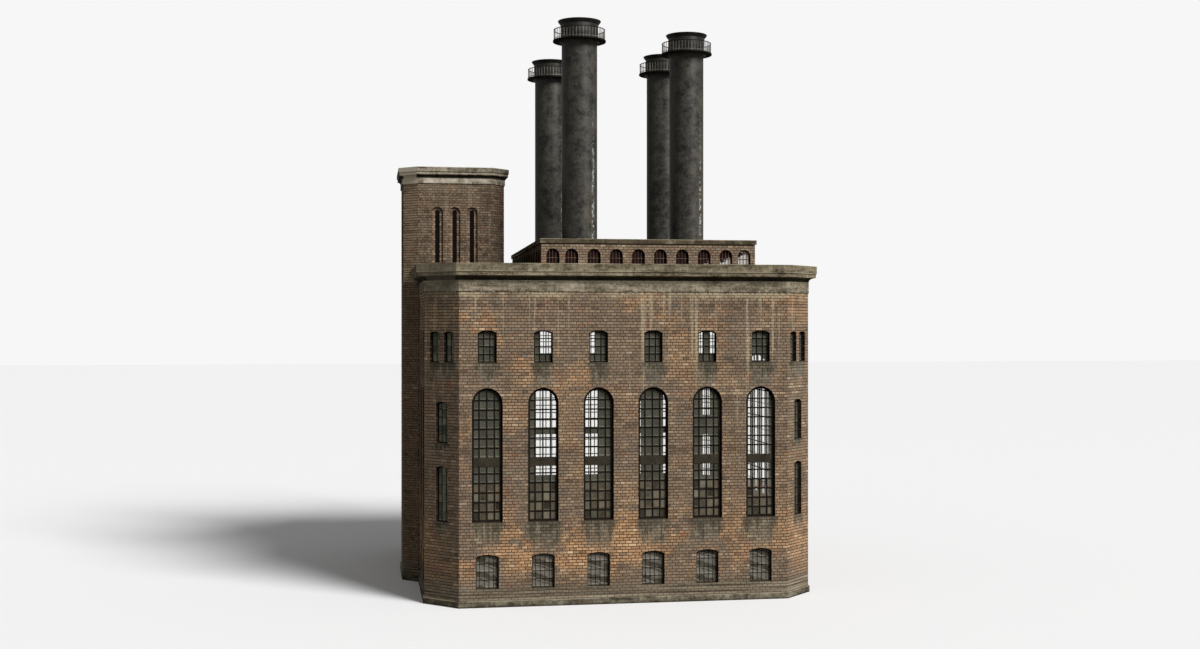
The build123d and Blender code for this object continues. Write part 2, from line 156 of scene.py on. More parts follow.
def head_radius(opening):
    return ((opening.width / 2) ** 2 + opening.rise**2) / (2 * opening.rise)


def crown(opening):
    return opening.springing + opening.rise


def head_level(opening, along, grow=0.0):
    """Level of an opening's head this far from its middle."""
    radius = head_radius(opening)
    centre = crown(opening) - radius
    return centre + math.sqrt(max((radius + grow) ** 2 - along**2, 0.0))


def half_at(opening, level, shrink=0.0):
    """Half the clear width of an opening at a level."""
    half = opening.width / 2 - shrink
    radius = head_radius(opening)
    above = level - (crown(opening) - radius)
    if level < opening.springing or above <= 0:
        return half
    return min(half, math.sqrt(max((radius - shrink) ** 2 - above**2, 0.0)))


class Mesh:
    """Points and faces gathered for one piece, with a tone for each face."""

    def __init__(self):
        self.points = []
        self.faces = []
        self.tones = []

    def add(self, points, faces, tones=(0.5,)):
        """Add faces on new points, with a tone for each face or one for all."""
        start = len(self.points)
        self.points.extend(points)
        self.faces.extend([start + i for i in face] for face in faces)
        self.tones.extend(tones if len(tones) == len(faces) else [tones[0]] * len(faces))

    def prism(self, base, tip, tone=0.5, closed=False):
        """Join two matching rings of points, with the tip ring as its face."""
        count = len(base)
        sides = [(i, (i + 1) % count, count + (i + 1) % count, count + i) for i in range(count)]
        ends = [tuple(range(count, 2 * count))]
        if closed:
            ends.append(tuple(reversed(range(count))))
        self.add(base + tip, sides + ends, (tone,))

    def box(self, face, span, levels, outs, edge=0.0, tone=0.5):
        """Bar on a wall, closed all round, its outer face narrower by an edge on each side."""
        (start, end), (foot, top), (inner, outer) = span, levels, outs
        wide = [(start, foot), (end, foot), (end, top), (start, top)]
        start, end, foot, top = start + edge, end - edge, foot + edge, top - edge
        narrow = [(start, foot), (end, foot), (end, top), (start, top)]
        base = [on_wall(face, along, level, inner) for along, level in wide]
        tip = [on_wall(face, along, level, outer) for along, level in narrow]
        self.prism(base, tip, tone, closed=True)

    def build(self, name, finish, slot, replaced=()):
        """Make the piece, which rides on the building."""
        mesh = bpy.data.meshes.new(name)
        mesh.from_pydata(self.points, [], self.faces)
        mesh.attributes.new("tone", "FLOAT", "FACE").data.foreach_set("value", self.tones)
        mesh.materials.append(finish)
        mesh.update()
        made = bpy.data.objects.new(name, mesh)
        bpy.context.scene.collection.objects.link(made)
        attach(made, "root")
        if replaced:
            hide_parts(*replaced)


# Shader maths
def maths(operation, swapped=False):
    """A method of Wire that adds one Math node."""

    def method(wire, other=0.0):
        first, second = (other, wire) if swapped else (wire, other)
        return wire.sheet.node("Math", {"operation": operation}, {0: first, 1: second})

    return method


class Wire:
    """One output of a node, so that masks are written as expressions."""

    def __init__(self, sheet, socket):
        self.sheet = sheet
        self.socket = socket

    __add__ = __radd__ = maths("ADD")
    __mul__ = __rmul__ = maths("MULTIPLY")
    __sub__ = maths("SUBTRACT")
    __rsub__ = maths("SUBTRACT", swapped=True)
    __truediv__ = maths("DIVIDE")
    __mod__ = maths("FLOORED_MODULO")
    __abs__ = maths("ABSOLUTE")
    floor = maths("FLOOR")
    larger = maths("MAXIMUM")

    def rise(self, start, end):
        """0 at start, 1 at end, smooth between and level beyond; start may be the higher."""
        settings = {"interpolation_type": "SMOOTHSTEP"}
        return self.sheet.node("MapRange", settings, {"Value": self, "From Min": start, "From Max": end})


class Sheet:
    """The nodes of a material, or of the sky, while they are laid out."""

    def __init__(self, owner):
        owner.use_nodes = True
        self.owner = owner
        self.tree = owner.node_tree
        self.tree.nodes.clear()

    @cached_property
    def place(self):
        return self.node("TexCoord", output="Object")

    @cached_property
    def x(self):
        return self.node("SeparateXYZ", {}, {"Vector": self.place}, "X")

    @cached_property
    def y(self):
        return self.node("SeparateXYZ", {}, {"Vector": self.place}, "Y")

    @cached_property
    def z(self):
        return self.node("SeparateXYZ", {}, {"Vector": self.place}, "Z")

    @cached_property
    def tone(self):
        """The tone that a face was made with."""
        return self.node("Attribute", {"attribute_name": "tone"}, output="Fac")

    def chance(self, value):
        """A value from 0 to 1, as good as random, that goes with another."""
        return self.node("TexWhiteNoise", {"noise_dimensions": "1D"}, {"W": value}, "Value")

    def node(self, kind, settings=None, inputs=None, output=0):
        """Add a node, set its settings, then fill its sockets with values or wires."""
        made = self.tree.nodes.new("ShaderNode" + kind)
        for key, value in (settings or {}).items():
            if key == "stops":
                self.set_stops(made.color_ramp, value)
            else:
                setattr(made, key, value)
        for key, value in (inputs or {}).items():
            if isinstance(value, Wire):
                self.tree.links.new(value.socket, made.inputs[key])
            elif isinstance(value, tuple) and made.inputs[key].type == "RGBA":
                made.inputs[key].default_value = (*value, 1.0)
            else:
                made.inputs[key].default_value = value
        return Wire(self, made.outputs[output]) if len(made.outputs) else None

    def set_stops(self, ramp, stops):
        while len(ramp.elements) < len(stops):
            ramp.elements.new(1.0)
        for element, (place, colour) in zip(ramp.elements, stops):
            element.position = place
            element.color = (*colour, 1.0)

    def ramp(self, value, *stops):
        return self.node("ValToRGB", {"stops": stops}, {"Fac": value}, "Color")

    def between(self, value, dark, light, start=0.3, end=0.7):
        """Colour from dark to light as a value climbs from start to end."""
        return self.ramp(value, (start, dark), (end, light))

    def noise(self, scale, detail=3.0, roughness=0.6, stretch=(1, 1, 1), shift=0.0):
        """Cloudy value near 0.5, in cycles for each metre, stretched along the axes."""
        sizes = {"Vector": self.place, "Scale": stretch, "Location": (shift, shift, shift)}
        where = self.node("Mapping", {}, sizes)
        grain = {"Vector": where, "Scale": scale, "Detail": detail, "Roughness": roughness}
        return self.node("TexNoise", {}, grain, "Fac")

    def mix(self, share, first, second, blend="MIX"):
        """Colour between two, by a share from 0 to 1."""
        settings = {"data_type": "RGBA", "blend_type": blend}
        return self.node("Mix", settings, {0: share, 6: first, 7: second}, 2)

    def coats(self, colour, *coats):
        """A colour under coats of others, each with its share."""
        for share, coat in coats:
            colour = self.mix(share, colour, coat)
        return colour

    def shade(self, colour, amount):
        """Colour made lighter or darker by a value near 1."""
        grey = self.node("CombineXYZ", {}, {0: amount, 1: amount, 2: amount})
        return self.mix(1.0, colour, grey, "MULTIPLY")

    def bump(self, height, strength, distance):
        return self.node("Bump", {}, {"Height": height, "Strength": strength, "Distance": distance})

    def finish(self, colour, roughness, **others):
        """Join the colour, roughness and any other sockets to the surface."""
        inputs = {"Base Color": colour, "Roughness": roughness}
        for key, value in others.items():
            inputs[key.replace("_", " ")] = value
        surface = self.node("BsdfPrincipled", {}, inputs)
        self.node("OutputMaterial", {}, {"Surface": surface})
        return self.owner


def material_sheet(name):
    return Sheet(bpy.data.materials.new(name))


def paint(red, green, blue):
    """A colour given as 0 to 255 on a screen, as the light that it reflects."""
    shares = [value / 255 for value in (red, green, blue)]
    return tuple(s / 12.92 if s <= 0.04045 else ((s + 0.055) / 1.055) ** 2.4 for s in shares)


# Weather on a wall
Wall = namedtuple("Wall", "along stains head warmth salt")
Stain = namedtuple("Stain", "distance half sill length")
Weather = namedtuple("Weather", "wash soot streaks warm foot")


def bay_distance(along, first):
    """Distance along a wall from the middle of the nearest bay."""
    return abs((along - first + bay / 2) % bay - bay / 2)


def weather(sheet, wall):
    """Masks: pale wash and dark soot under the sills, salt streaks, warm patches and a splashed foot."""
    ragged = sheet.noise(1.3, 4, 0.75) - 0.5
    drips = sheet.noise(4.2, 3, 0.65, stretch=(1, 1, 0.1), shift=2.5) - 0.5
    cloudy = sheet.noise(0.3, 2, 0.5, shift=3.0)
    wash = 0.0
    soot = 0.0
    for stain in wall.stains:
        depth = (stain.sill - sheet.z) / stain.length
        reach = stain.half * 1.1 - depth * stain.half * 0.4
        sideways = stain.distance + ragged * 0.9 - reach
        under = sheet.z.rise(stain.sill + 0.03, stain.sill - 0.03)
        wash = sideways.rise(0.3, -0.3) * (depth + ragged * 0.8).rise(1.1, 0.5) * under + wash
        short = (depth + drips * 2.6).rise(0.6, 0.14)
        soot = (sideways - 0.1).rise(0.25, -0.2) * short * under + soot
    wash = wash * cloudy.rise(0.1, 0.4)
    thin = sheet.noise(2.7, 2, 0.6, stretch=(1, 1, 0.02), shift=1.5).rise(0.575, 0.63)
    broken = sheet.noise(0.8, 4, 0.75, stretch=(1, 1, 0.4), shift=8.0).rise(0.3, 0.55)
    length = sheet.noise(0.9, 1, 0.5, stretch=(1, 1, 0.0), shift=6.0)
    streaks = thin * broken * (sheet.z + length * 14.0).rise(wall.head - 1.0, wall.head + 4.0)
    crust = (sheet.z + ragged * 1.2).rise(wall.head - 0.5, wall.head - 0.1) * cloudy.rise(0.3, 0.6)
    streaks = streaks.larger(crust) * wall.salt
    low_down = sheet.z.rise(7.4, 4.6)
    patch = (sheet.noise(0.24, 4, 0.68, shift=3.5) + low_down * 0.06).rise(0.48, 0.58)
    greyed = sheet.z.rise(4.8, 7.0) * sheet.z.rise(15.5, 14.0) * 0.36
    warm = patch * (low_down * 0.25 + 0.65 - greyed) * sheet.z.rise(1.2, 3.0) * wall.warmth
    foot = (sheet.z + ragged * 0.5).rise(1.5, 1.05)
    return Weather(wash, soot, streaks, warm, foot)


def weathered(sheet, colour, masks, wash, soot, salt, base):
    """A colour under the weather of a wall."""
    stains = ((masks.streaks * 0.7, salt), (masks.wash * 0.8, wash), (masks.soot * 0.76, soot))
    return sheet.coats(colour, *stains, (masks.foot * 0.68, base))


def splashed(sheet):
    """Grey grime in level bands near the ground."""
    bands = sheet.noise(1.5, 4, 0.75, (0.12, 0.12, 5.0))
    dark, middle, light = paint(62, 55, 45), paint(116, 106, 89), paint(172, 160, 138)
    return sheet.ramp(bands, (0.38, dark), (0.5, middle), (0.62, light))


def brick_tones(sheet, tone, *colours):
    """Colour of a brick by its tone, from the darkest of four to the palest."""
    return sheet.ramp(tone, *zip((0.0, 0.35, 0.65, 1.0), (paint(*colour) for colour in colours)))


def brick_finish(name, lay_out):
    """Fired brick with a tone for each one."""
    sheet = material_sheet(name)
    masks = weather(sheet, lay_out(sheet))
    other = sheet.chance(sheet.tone * 71.0)
    speckle = sheet.noise(12.0, 5, 0.8)
    drift = sheet.noise(0.45, 5, 0.75, shift=12.0)
    tone = sheet.tone + (speckle - 0.5) * 0.7 + (drift - 0.5) * 0.8
    plain = brick_tones(sheet, tone, (76, 64, 52), (118, 101, 84), (140, 120, 99), (184, 162, 135))
    burnt = brick_tones(sheet, tone, (116, 82, 56), (178, 134, 94), (212, 164, 116), (244, 216, 178))
    rosy = sheet.noise(0.7, 4, 0.75, shift=11.0).rise(0.52, 0.7) * other.rise(0.2, 0.6)
    limy = sheet.noise(7.0, 3, 0.7, shift=6.0).rise(0.57, 0.66) * (masks.warm * 0.6 + 0.4)
    colour = sheet.coats(
        plain,
        (masks.warm * 0.85, burnt),
        (rosy * 0.45, paint(158, 100, 72)),
        (limy * 0.7, paint(232, 212, 176)),
        (other.rise(0.12, 0.06) * 0.4, paint(120, 116, 106)),
    )
    wash = sheet.between(tone, paint(92, 86, 74), paint(146, 137, 120), 0.2, 0.8)
    soot = sheet.between(tone, paint(58, 54, 43), paint(94, 88, 72), 0.2, 0.8)
    colour = weathered(sheet, colour, masks, wash, soot, paint(188, 172, 142), splashed(sheet))
    return sheet.finish(
        colour,
        0.9 - speckle * 0.1,
        Normal=sheet.bump(speckle, 0.35, 0.004),
        Specular_IOR_Level=0.15,
    )


def mortar_finish(name, bond, lay_out, outward, wall_face, dark, light):
    """Dark mortar behind the bricks, and plain brickwork on reveals and inner faces."""
    sheet = material_sheet(name)
    wall = lay_out(sheet)
    masks = weather(sheet, wall)
    sand = sheet.noise(14.0, 3, 0.7)
    plain = sheet.between(sand, paint(54, 45, 36), paint(90, 75, 61))
    mortar = sheet.mix(masks.warm, plain, sheet.between(sand, paint(36, 27, 20), paint(62, 46, 34)))
    wash = sheet.between(sand, paint(70, 64, 53), paint(104, 96, 81))
    foot = sheet.shade(splashed(sheet), 0.5)
    mortar = weathered(sheet, mortar, masks, wash, paint(48, 45, 36), paint(140, 128, 106), foot)
    level = (sheet.z - plinth_top) / bond.course
    row = level.floor()
    stagger = (row % 2.0) * 0.5
    place_in_brick = (wall.along / bond.pitch + stagger) % 1.0
    bed = abs(level % 1.0 - 0.5).rise(0.40, 0.43)
    cross = abs(place_in_brick - 0.5).rise(0.455, 0.475)
    joint = bed.larger(cross)
    brick_number = (wall.along / bond.pitch + stagger).floor() * 7.13 + row * 3.71
    tone = sheet.chance(brick_number) * 0.7 + (sand - 0.5) * 0.5
    brickwork = sheet.mix(joint, sheet.between(tone, dark, light, 0.0, 1.0), paint(34, 28, 22))
    outer = outward(sheet).rise(wall_face - 0.004, wall_face - 0.002)
    colour = sheet.mix(outer, brickwork, mortar)
    return sheet.finish(
        colour,
        0.94 - sand * 0.08,
        Normal=sheet.bump(sand - joint * 0.6, 0.5, 0.006),
        Specular_IOR_Level=0.1,
    )


# Past the left front edge (x, y) of a part, this much further out, the stone is painted paler by this
# amount: painted light on the shaded left chamfer
PaintedLight = namedtuple("PaintedLight", "x y further amount")


def stone_finish(name, block, light, dark, moss, dirt_and_shade, edges, painted_light=None):
    """Weathered cut stone with thin joints, moss high up, a darker band low down that is painted shade
    under the cornices and the coping, worn pale edges, and painted light past a left front edge.
    """
    sheet = material_sheet(name)
    cloud = sheet.noise(0.9, 5, 0.7)
    grain = sheet.noise(3.2, 6, 0.85, shift=2.0)
    layers = sheet.noise(1.3, 5, 0.75, (0.35, 0.35, 4.0), 7.0)
    runs = sheet.noise(2.0, 3, 0.6, (1, 1, 0.1), 4.0)
    middle = tuple((a + b) / 2 for a, b in zip(light, dark))
    tone = cloud * 0.25 + grain * 0.45 + layers * 0.3
    green = (sheet.z + (cloud - 0.5) * 0.5).rise(*moss) * sheet.noise(1.1, 3, 0.6).rise(0.35, 0.6)
    # Painted shade: below these levels the stone is darkened as shade under the cornices and the coping;
    # the frieze and the plinth are darker towards the bottom
    under = (sheet.z + (grain - 0.5) * 0.16).rise(dirt_and_shade[1], dirt_and_shade[0])
    worn = 0.0
    for level in edges:
        worn = abs(sheet.z - level + (grain - 0.5) * 0.03).rise(0.05, 0.02) + worn
    colour = sheet.coats(
        sheet.ramp(tone, (0.43, dark), (0.5, middle), (0.565, light)),
        (runs.rise(0.5, 0.7) * 0.42, paint(72, 65, 50)),
        (cloud.rise(0.55, 0.68) * 0.4, paint(182, 172, 150)),
        (green * 0.4, paint(90, 86, 60)),
        (under * 0.85, paint(36, 33, 25)),
        (worn * layers.rise(0.35, 0.55) * 0.6, paint(186, 176, 150)),
    )
    # Painted light: the shaded left chamfer past the edge is mixed towards a pale stone colour
    if painted_light:
        past_x = (painted_light.x - painted_light.further - sheet.x).rise(0.0, 0.02)
        past_y = (painted_light.y - painted_light.further - sheet.y).rise(0.0, 0.02)
        colour = sheet.mix(past_x * past_y * painted_light.amount, colour, paint(238, 226, 202))
    gap = abs(((sheet.x + sheet.y) / block) % 1.0 - 0.5).rise(0.4925, 0.4965)
    colour = sheet.mix(gap * 0.5, colour, paint(48, 43, 34))
    return sheet.finish(
        colour,
        0.95 - grain * 0.1,
        Normal=sheet.bump(grain + cloud - gap * 0.8, 0.6, 0.014),
        Specular_IOR_Level=0.12,
    )


def old_paint(sheet, dark, light, rust):
    """Mottled paint streaked with rust: its colour, its clouds and its fine grain."""
    mottle = sheet.noise(1.1, 6, 0.78)
    fine = sheet.noise(9.0, 4, 0.75, shift=3.0)
    runs = sheet.noise(1.5, 3, 0.6, (1, 1, 0.06), 6.0)
    spots = sheet.noise(2.2, 5, 0.8, shift=9.0).rise(0.56, 0.66)
    colour = sheet.between(mottle * 0.65 + fine * 0.35, dark, light, 0.41, 0.59)
    stains = ((runs.rise(0.5, 0.7) * 0.45, rust), (spots * 0.65, paint(16, 15, 14)))
    return sheet.coats(colour, *stains), mottle, fine


def steel_finish(name, dark, light, rust):
    """Old painted steel of the windows, panels and railings."""
    sheet = material_sheet(name)
    colour, mottle, fine = old_paint(sheet, dark, light, rust)
    relief = sheet.bump(fine + mottle, 0.3, 0.01)
    return sheet.finish(colour, mottle * 0.5 + 0.5, Specular_IOR_Level=0.12, Normal=relief)


# Pale flakes, which are also a painted glint on the lit side, stand to the right of a shaft's middle by
# this share of its radius
flake_and_glint_side = 0.66


def chimney_finish(name, dark, light, rust):
    """Smoother steel, with pale flakes that are also a painted glint low on one side of each shaft, and
    sooted above the gallery.
    """
    sheet = material_sheet(name)
    colour, mottle, fine = old_paint(sheet, dark, light, rust)
    # Pale flakes that also serve as a painted glint on the lit side of each shaft
    flakes_and_glints = 0.0
    for line in sorted({round(place.x, 2) + shaft_radius * flake_and_glint_side for place in chimney_places}):
        flakes_and_glints = abs(sheet.x - line).rise(0.13, 0.03) + flakes_and_glints
    flakes_and_glints = flakes_and_glints * sheet.noise(3.2, 5, 0.8, shift=14.0).rise(0.49, 0.58) * sheet.z.rise(35.0, 26.0)
    sooted = sheet.z.rise(deck_top - 0.1, deck_top + 0.1)
    colour = sheet.coats(
        colour, (flakes_and_glints * 0.75, paint(190, 194, 192)), (sooted * 0.62, paint(22, 21, 19))
    )
    relief = sheet.bump(fine + mottle, 0.3, 0.01)
    return sheet.finish(colour, mottle * 0.5 + 0.17, Specular_IOR_Level=0.45, Normal=relief)


# Between these levels the coat of the lower windows gives way to that of the others
over_low_windows = (3.4, 3.6)


def glass_finish(name):
    """Old window glass: the dust on each pane is its tone, from a light film to an even brown coat."""
    sheet = material_sheet(name)
    dust = sheet.tone
    other = sheet.chance(dust * 53.0)
    film = sheet.noise(3.4, 5, 0.75)
    thick = dust.rise(0.2, 0.45)
    even = sheet.z.rise(*over_low_windows)
    blotch = film * 0.5 + (other - 0.5) * (even * 0.4 + 0.1) + 0.25
    # Painted reflection: bright diagonal bands on the glass of the lower windows
    slope = ((sheet.z + (sheet.x + sheet.y) * 0.3) / 0.95 + film * 0.5) % 1.0
    painted_reflection = abs(slope - 0.5).rise(0.26, 0.2) * 0.55 + abs(slope - 0.86).rise(0.05, 0.02) * 0.8
    rusty = dust.rise(0.8, 0.9) * other.rise(0.6, 0.66) * even
    # Painted light: the panes of the shaded left front corner get a paler coat
    painted_light_corner = (sheet.x + half_front).rise(0.0, -0.1) * (sheet.y + half_side).rise(0.0, -0.1)
    coat = sheet.coats(
        sheet.between(blotch, paint(60, 54, 42), paint(128, 118, 98)),
        ((1.0 - even) * 0.5, paint(58, 57, 50)),
        (painted_reflection * (1.0 - even), paint(168, 162, 150)),
        (rusty * 0.6, paint(98, 72, 46)),
        (painted_light_corner, sheet.between(blotch, paint(104, 108, 90), paint(168, 170, 148))),
    )
    colour = sheet.mix(thick, paint(226, 222, 196), coat)
    return sheet.finish(colour, 0.4 + film * 0.3, Alpha=dust * (film * 0.8 + 0.6), Specular_IOR_Level=0.3)


# The pale painted light, seen as if through the arches, ends along a ragged line through this level, which
# climbs to the right
daylight_top = 21.3
daylight_slope = 0.3


def painted_glass(name):
    """Maroon paint on the roof house's glass, with pale painted light, as if seen through, low down on the
    panes whose tone is high.
    """
    sheet = material_sheet(name)
    film = sheet.noise(3.4, 5, 0.75)
    maroon = sheet.between(film, paint(18, 6, 5), paint(44, 15, 13))
    line = sheet.z - (sheet.x - house_x) * daylight_slope + (sheet.noise(2.3, 4, 0.75, shift=5.0) - 0.5) * 1.5
    # Painted light: a pale colour low on these panes stands for light seen through the arches
    daylight = sheet.tone.rise(0.35, 0.5) * line.rise(daylight_top + 0.06, daylight_top - 0.06)
    colour = sheet.mix(daylight, maroon, paint(204, 198, 192))
    return sheet.finish(colour, 0.6 + film * 0.2, Alpha=0.9, Specular_IOR_Level=0.1)


def plain_finish(name, dark, light, scale, roughness, height):
    """Concrete, felt or old paint: two tones in clouds, with grit."""
    sheet = material_sheet(name)
    cloud = sheet.noise(scale, 5, 0.68)
    grit = sheet.noise(scale * 9, 3, 0.7, shift=4.0)
    colour = sheet.between(cloud * 0.75 + grit * 0.25, dark, light, 0.35, 0.65)
    relief = sheet.bump(grit + cloud, 0.4, height)
    return sheet.finish(colour, roughness - grit * 0.12, Normal=relief, Specular_IOR_Level=0.15)


# Where dirt gathers on each wall, and how far the walls' faces lie out
below_sills = ((lower_window, 0.3), (tall_window, 2.1), (upper_window, 2.0))
below_corner_sills = ((corner_lower, 0.5, 0.8), (corner_middle, 0.5, 0.8), (corner_upper, 1.0, 1.3))


def bay_stains(distance):
    return [Stain(distance, window.width / 2, window.sill, length) for window, length in below_sills]


def front_wall(sheet):
    warmth = 1.0 - sheet.x.rise(-2.0, 5.0) * 0.42
    return Wall(sheet.x, bay_stains(bay_distance(sheet.x, bay / 2)), wall_top, warmth, 1.0)


def side_wall(sheet):
    return Wall(sheet.y, bay_stains(bay_distance(abs(sheet.y), side_places[2])), wall_top, 0.8, 1.0)


def corner_wall(sheet):
    along = (abs(sheet.x) - abs(sheet.y) + corner_y - corner_x) / math.sqrt(2)
    stains = [Stain(abs(along), half, window.sill, length) for window, half, length in below_corner_sills]
    warmth = sheet.x.rise(-bay, bay) * 0.3 + 0.3
    return Wall(along, stains, wall_top, warmth, 0.6)


def sheer_wall(warmth, salt):
    """Lay out a wall with no sills for dirt to gather under."""
    return lambda sheet: Wall(sheet.x + sheet.y, (), tower_top, warmth, salt)


def diamond(sheet):
    """Distance out along the diagonals of the block."""
    return (abs(sheet.x) + abs(sheet.y)) / math.sqrt(2)


def tower_out(sheet):
    """How far a point lies out from the tower's middle, on its flat sides or its cut corners."""
    across, deep = abs(sheet.x - tower_x), abs(sheet.y)
    cut = (across + deep) / math.sqrt(2) + tower_half - (2 * tower_half - tower_cut) / math.sqrt(2)
    return across.larger(deep).larger(cut)


def house_out(sheet):
    """How far a point lies out from the roof house, whose width and depth differ."""
    across = abs(sheet.x - house_x) + house_half - (house_right - house_left) / 2
    return across.larger(abs(sheet.y))


tower_cut = (2 * tower_half - tower_flat) / 2
tower_wall, house_wall = sheer_wall(0.1, 0.3), sheer_wall(0.0, 0.0)
reveal_tones = (paint(44, 35, 28), paint(96, 76, 60))
corner_out = (corner_x + corner_y) / math.sqrt(2)
Brickwork = namedtuple("Brickwork", "bond lay_out outward wall_face dark light")
brickwork = {
    "front": Brickwork(block_bond, front_wall, lambda s: abs(s.y), half_depth, *reveal_tones),
    "side": Brickwork(block_bond, side_wall, lambda s: abs(s.x), half_width, *reveal_tones),
    "corner": Brickwork(block_bond, corner_wall, diamond, corner_out, *reveal_tones),
    # The tower's reveals and recess backs are paler than the block's: painted light on the backs of the
    # slot recesses
    "tower": Brickwork(
        small_bond, tower_wall, tower_out, tower_half, paint(104, 84, 68), paint(176, 148, 120)
    ),
    "roof_house": Brickwork(
        small_bond, house_wall, house_out, house_half, paint(40, 15, 13), paint(84, 36, 30)
    ),
}
brick = {name: brick_finish(f"{name}_brick", work.lay_out) for name, work in brickwork.items()}
mortar = {name: mortar_finish(f"{name}_mortar", *work) for name, work in brickwork.items()}

tower_cornice_top = high("tower_cornice").z
coping_low, coping_top = low("roof_house_coping").z, high("roof_house_coping").z
tower_moss = (tower_cornice_top - 0.05, tower_cornice_top + 0.3)
# Left front edges of the block and the tower, past which their stone gets painted light
block_edge = (-half_front, -half_side)
tower_edge = (tower_x - tower_flat / 2, -tower_flat / 2)
cornice_stone = stone_finish(
    "cornice_stone",
    block=2.35,
    light=paint(149, 137, 113),
    dark=paint(66, 58, 45),
    moss=(cornice_top - 0.35, cornice_top),
    # The cornice's cove is darkened as painted shade
    dirt_and_shade=(cornice_low + 0.2, cornice_low + 0.33),
    edges=(cornice_top, cornice_top - 0.54),
    painted_light=PaintedLight(*block_edge, further=0.23, amount=0.14),
)
frieze_stone = stone_finish(
    "frieze_stone",
    block=2.35,
    light=paint(166, 154, 133),
    dark=paint(86, 78, 62),
    moss=(cornice_low - 0.2, cornice_low),
    dirt_and_shade=(wall_top, wall_top + 0.08),
    edges=(cornice_low - 0.03,),
    painted_light=PaintedLight(*block_edge, further=0.02, amount=0.14),
)
tower_cornice_stone = stone_finish(
    "tower_cornice_stone",
    block=1.7,
    light=paint(172, 162, 142),
    dark=paint(72, 65, 52),
    moss=tower_moss,
    # The lower part of the tower cornice is darkened as painted shade
    dirt_and_shade=(tower_top + 0.6, tower_top + 0.7),
    edges=(tower_cornice_top, tower_cornice_top - 0.45),
    painted_light=PaintedLight(*tower_edge, further=0.14, amount=0.85),
)
tower_frieze_stone = stone_finish(
    "tower_frieze_stone",
    block=1.7,
    light=paint(204, 194, 176),
    dark=paint(122, 113, 97),
    moss=tower_moss,
    dirt_and_shade=(tower_top - 0.02, tower_top + 0.08),
    edges=(),
    painted_light=PaintedLight(*tower_edge, further=0.03, amount=0.85),
)
coping_stone = stone_finish(
    "coping_stone",
    block=1.6,
    light=paint(104, 92, 72),
    dark=paint(52, 45, 34),
    moss=(coping_top - 0.12, coping_top),
    # The foot of the coping is darkened as painted shade
    dirt_and_shade=(coping_low, coping_low + 0.05),
    edges=(coping_top, coping_low + 0.1),
)
plinth_stone = stone_finish(
    "plinth_stone",
    block=1.9,
    light=paint(130, 121, 103),
    dark=paint(62, 56, 45),
    moss=(5.0, 6.0),
    dirt_and_shade=(0.0, 0.16),
    edges=(plinth_top,),
)
chimney_steel = chimney_finish("chimney_steel", paint(24, 23, 21), paint(78, 75, 66), paint(90, 82, 66))
deck_steel = steel_finish("deck_steel", paint(8, 8, 7), paint(30, 28, 25), paint(36, 32, 26))
rail_steel = steel_finish("gallery_steel", paint(86, 84, 77), paint(154, 150, 138), paint(98, 84, 66))
window_paint = steel_finish("window_paint", paint(16, 14, 11), paint(34, 30, 24), paint(48, 36, 26))
low_window_paint = steel_finish("low_window_paint", paint(38, 35, 29), paint(64, 60, 50), paint(60, 50, 38))
spandrel_paint = steel_finish("spandrel_paint", paint(42, 37, 29), paint(66, 60, 48), paint(68, 56, 42))
arch_paint = plain_finish("arch_paint", paint(112, 90, 74), paint(160, 138, 118), 3.0, 0.8, 0.002)
arch_rim_paint = plain_finish("arch_rim_paint", paint(26, 10, 8), paint(48, 19, 16), 3.0, 0.8, 0.002)
arch_glass = painted_glass("arch_glass")
pane_glass = glass_finish("pane_glass")
salt_finish = plain_finish("salt", paint(112, 102, 82), paint(196, 186, 160), 2.4, 0.95, 0.006)
# Near-black board in the tower's slots: painted shade for the dark inside of the slots
slot_shade_black = plain_finish("slot_shade_board", paint(3, 3, 3), paint(10, 9, 8), 2.0, 0.97, 0.004)
floor_concrete = plain_finish("floor_concrete", paint(70, 66, 58), paint(118, 112, 100), 0.7, 0.92, 0.006)
roof_felt = plain_finish("roof_felt", paint(50, 49, 45), paint(92, 89, 80), 0.5, 0.95, 0.01)
tarred_boards = plain_finish("tarred_boards", paint(30, 18, 15), paint(58, 36, 30), 0.8, 0.95, 0.01)

tower_walls = ("front_wall", "right_wall", "back_wall", "left_wall", "corners")
glazed = ("lower_window", "tall_window", "upper_window", "great_window", "roof_house")

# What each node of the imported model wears
dressed = {
    mortar["front"]: ("front_wall", "back_wall"),
    mortar["side"]: ("right_wall_front", "right_wall_rear", "right_wall_centre", "left_wall"),
    mortar["corner"]: ("corner_walls",),
    mortar["tower"]: [f"tower_{part}" for part in tower_walls],
    mortar["roof_house"]: [f"roof_house_{part}" for part in ("front_wall", "back_wall", "side_walls")],
    cornice_stone: ("cornice",),
    frieze_stone: ("frieze",),
    tower_frieze_stone: ("tower_frieze",),
    tower_cornice_stone: ("tower_cornice",),
    coping_stone: ("roof_house_coping",),
    plinth_stone: ("plinth", "tower_plinth"),
    chimney_steel: chimney_nodes,
    deck_steel: ("chimney_galleries",),
    low_window_paint: ("lower_window_frames",),
    window_paint: ("tall_window_frames", "upper_window_frames", "great_window_frame"),
    spandrel_paint: ("tall_window_spandrels",),
    arch_rim_paint: ("roof_house_window_frames",),
    pane_glass: [f"{kind}_glass" for kind in glazed],
    slot_shade_black: ("tower_slot_panels",),
    floor_concrete: ("ground_floor", "hall_floor", "upper_floor"),
    roof_felt: ("roof_slab", "tower_roof"),
    tarred_boards: ("roof_house_roof",),
}
for finish, node_names in dressed.items():
    for name in node_names:
        nodes[name].data.materials.clear()
        nodes[name].data.materials.append(finish)


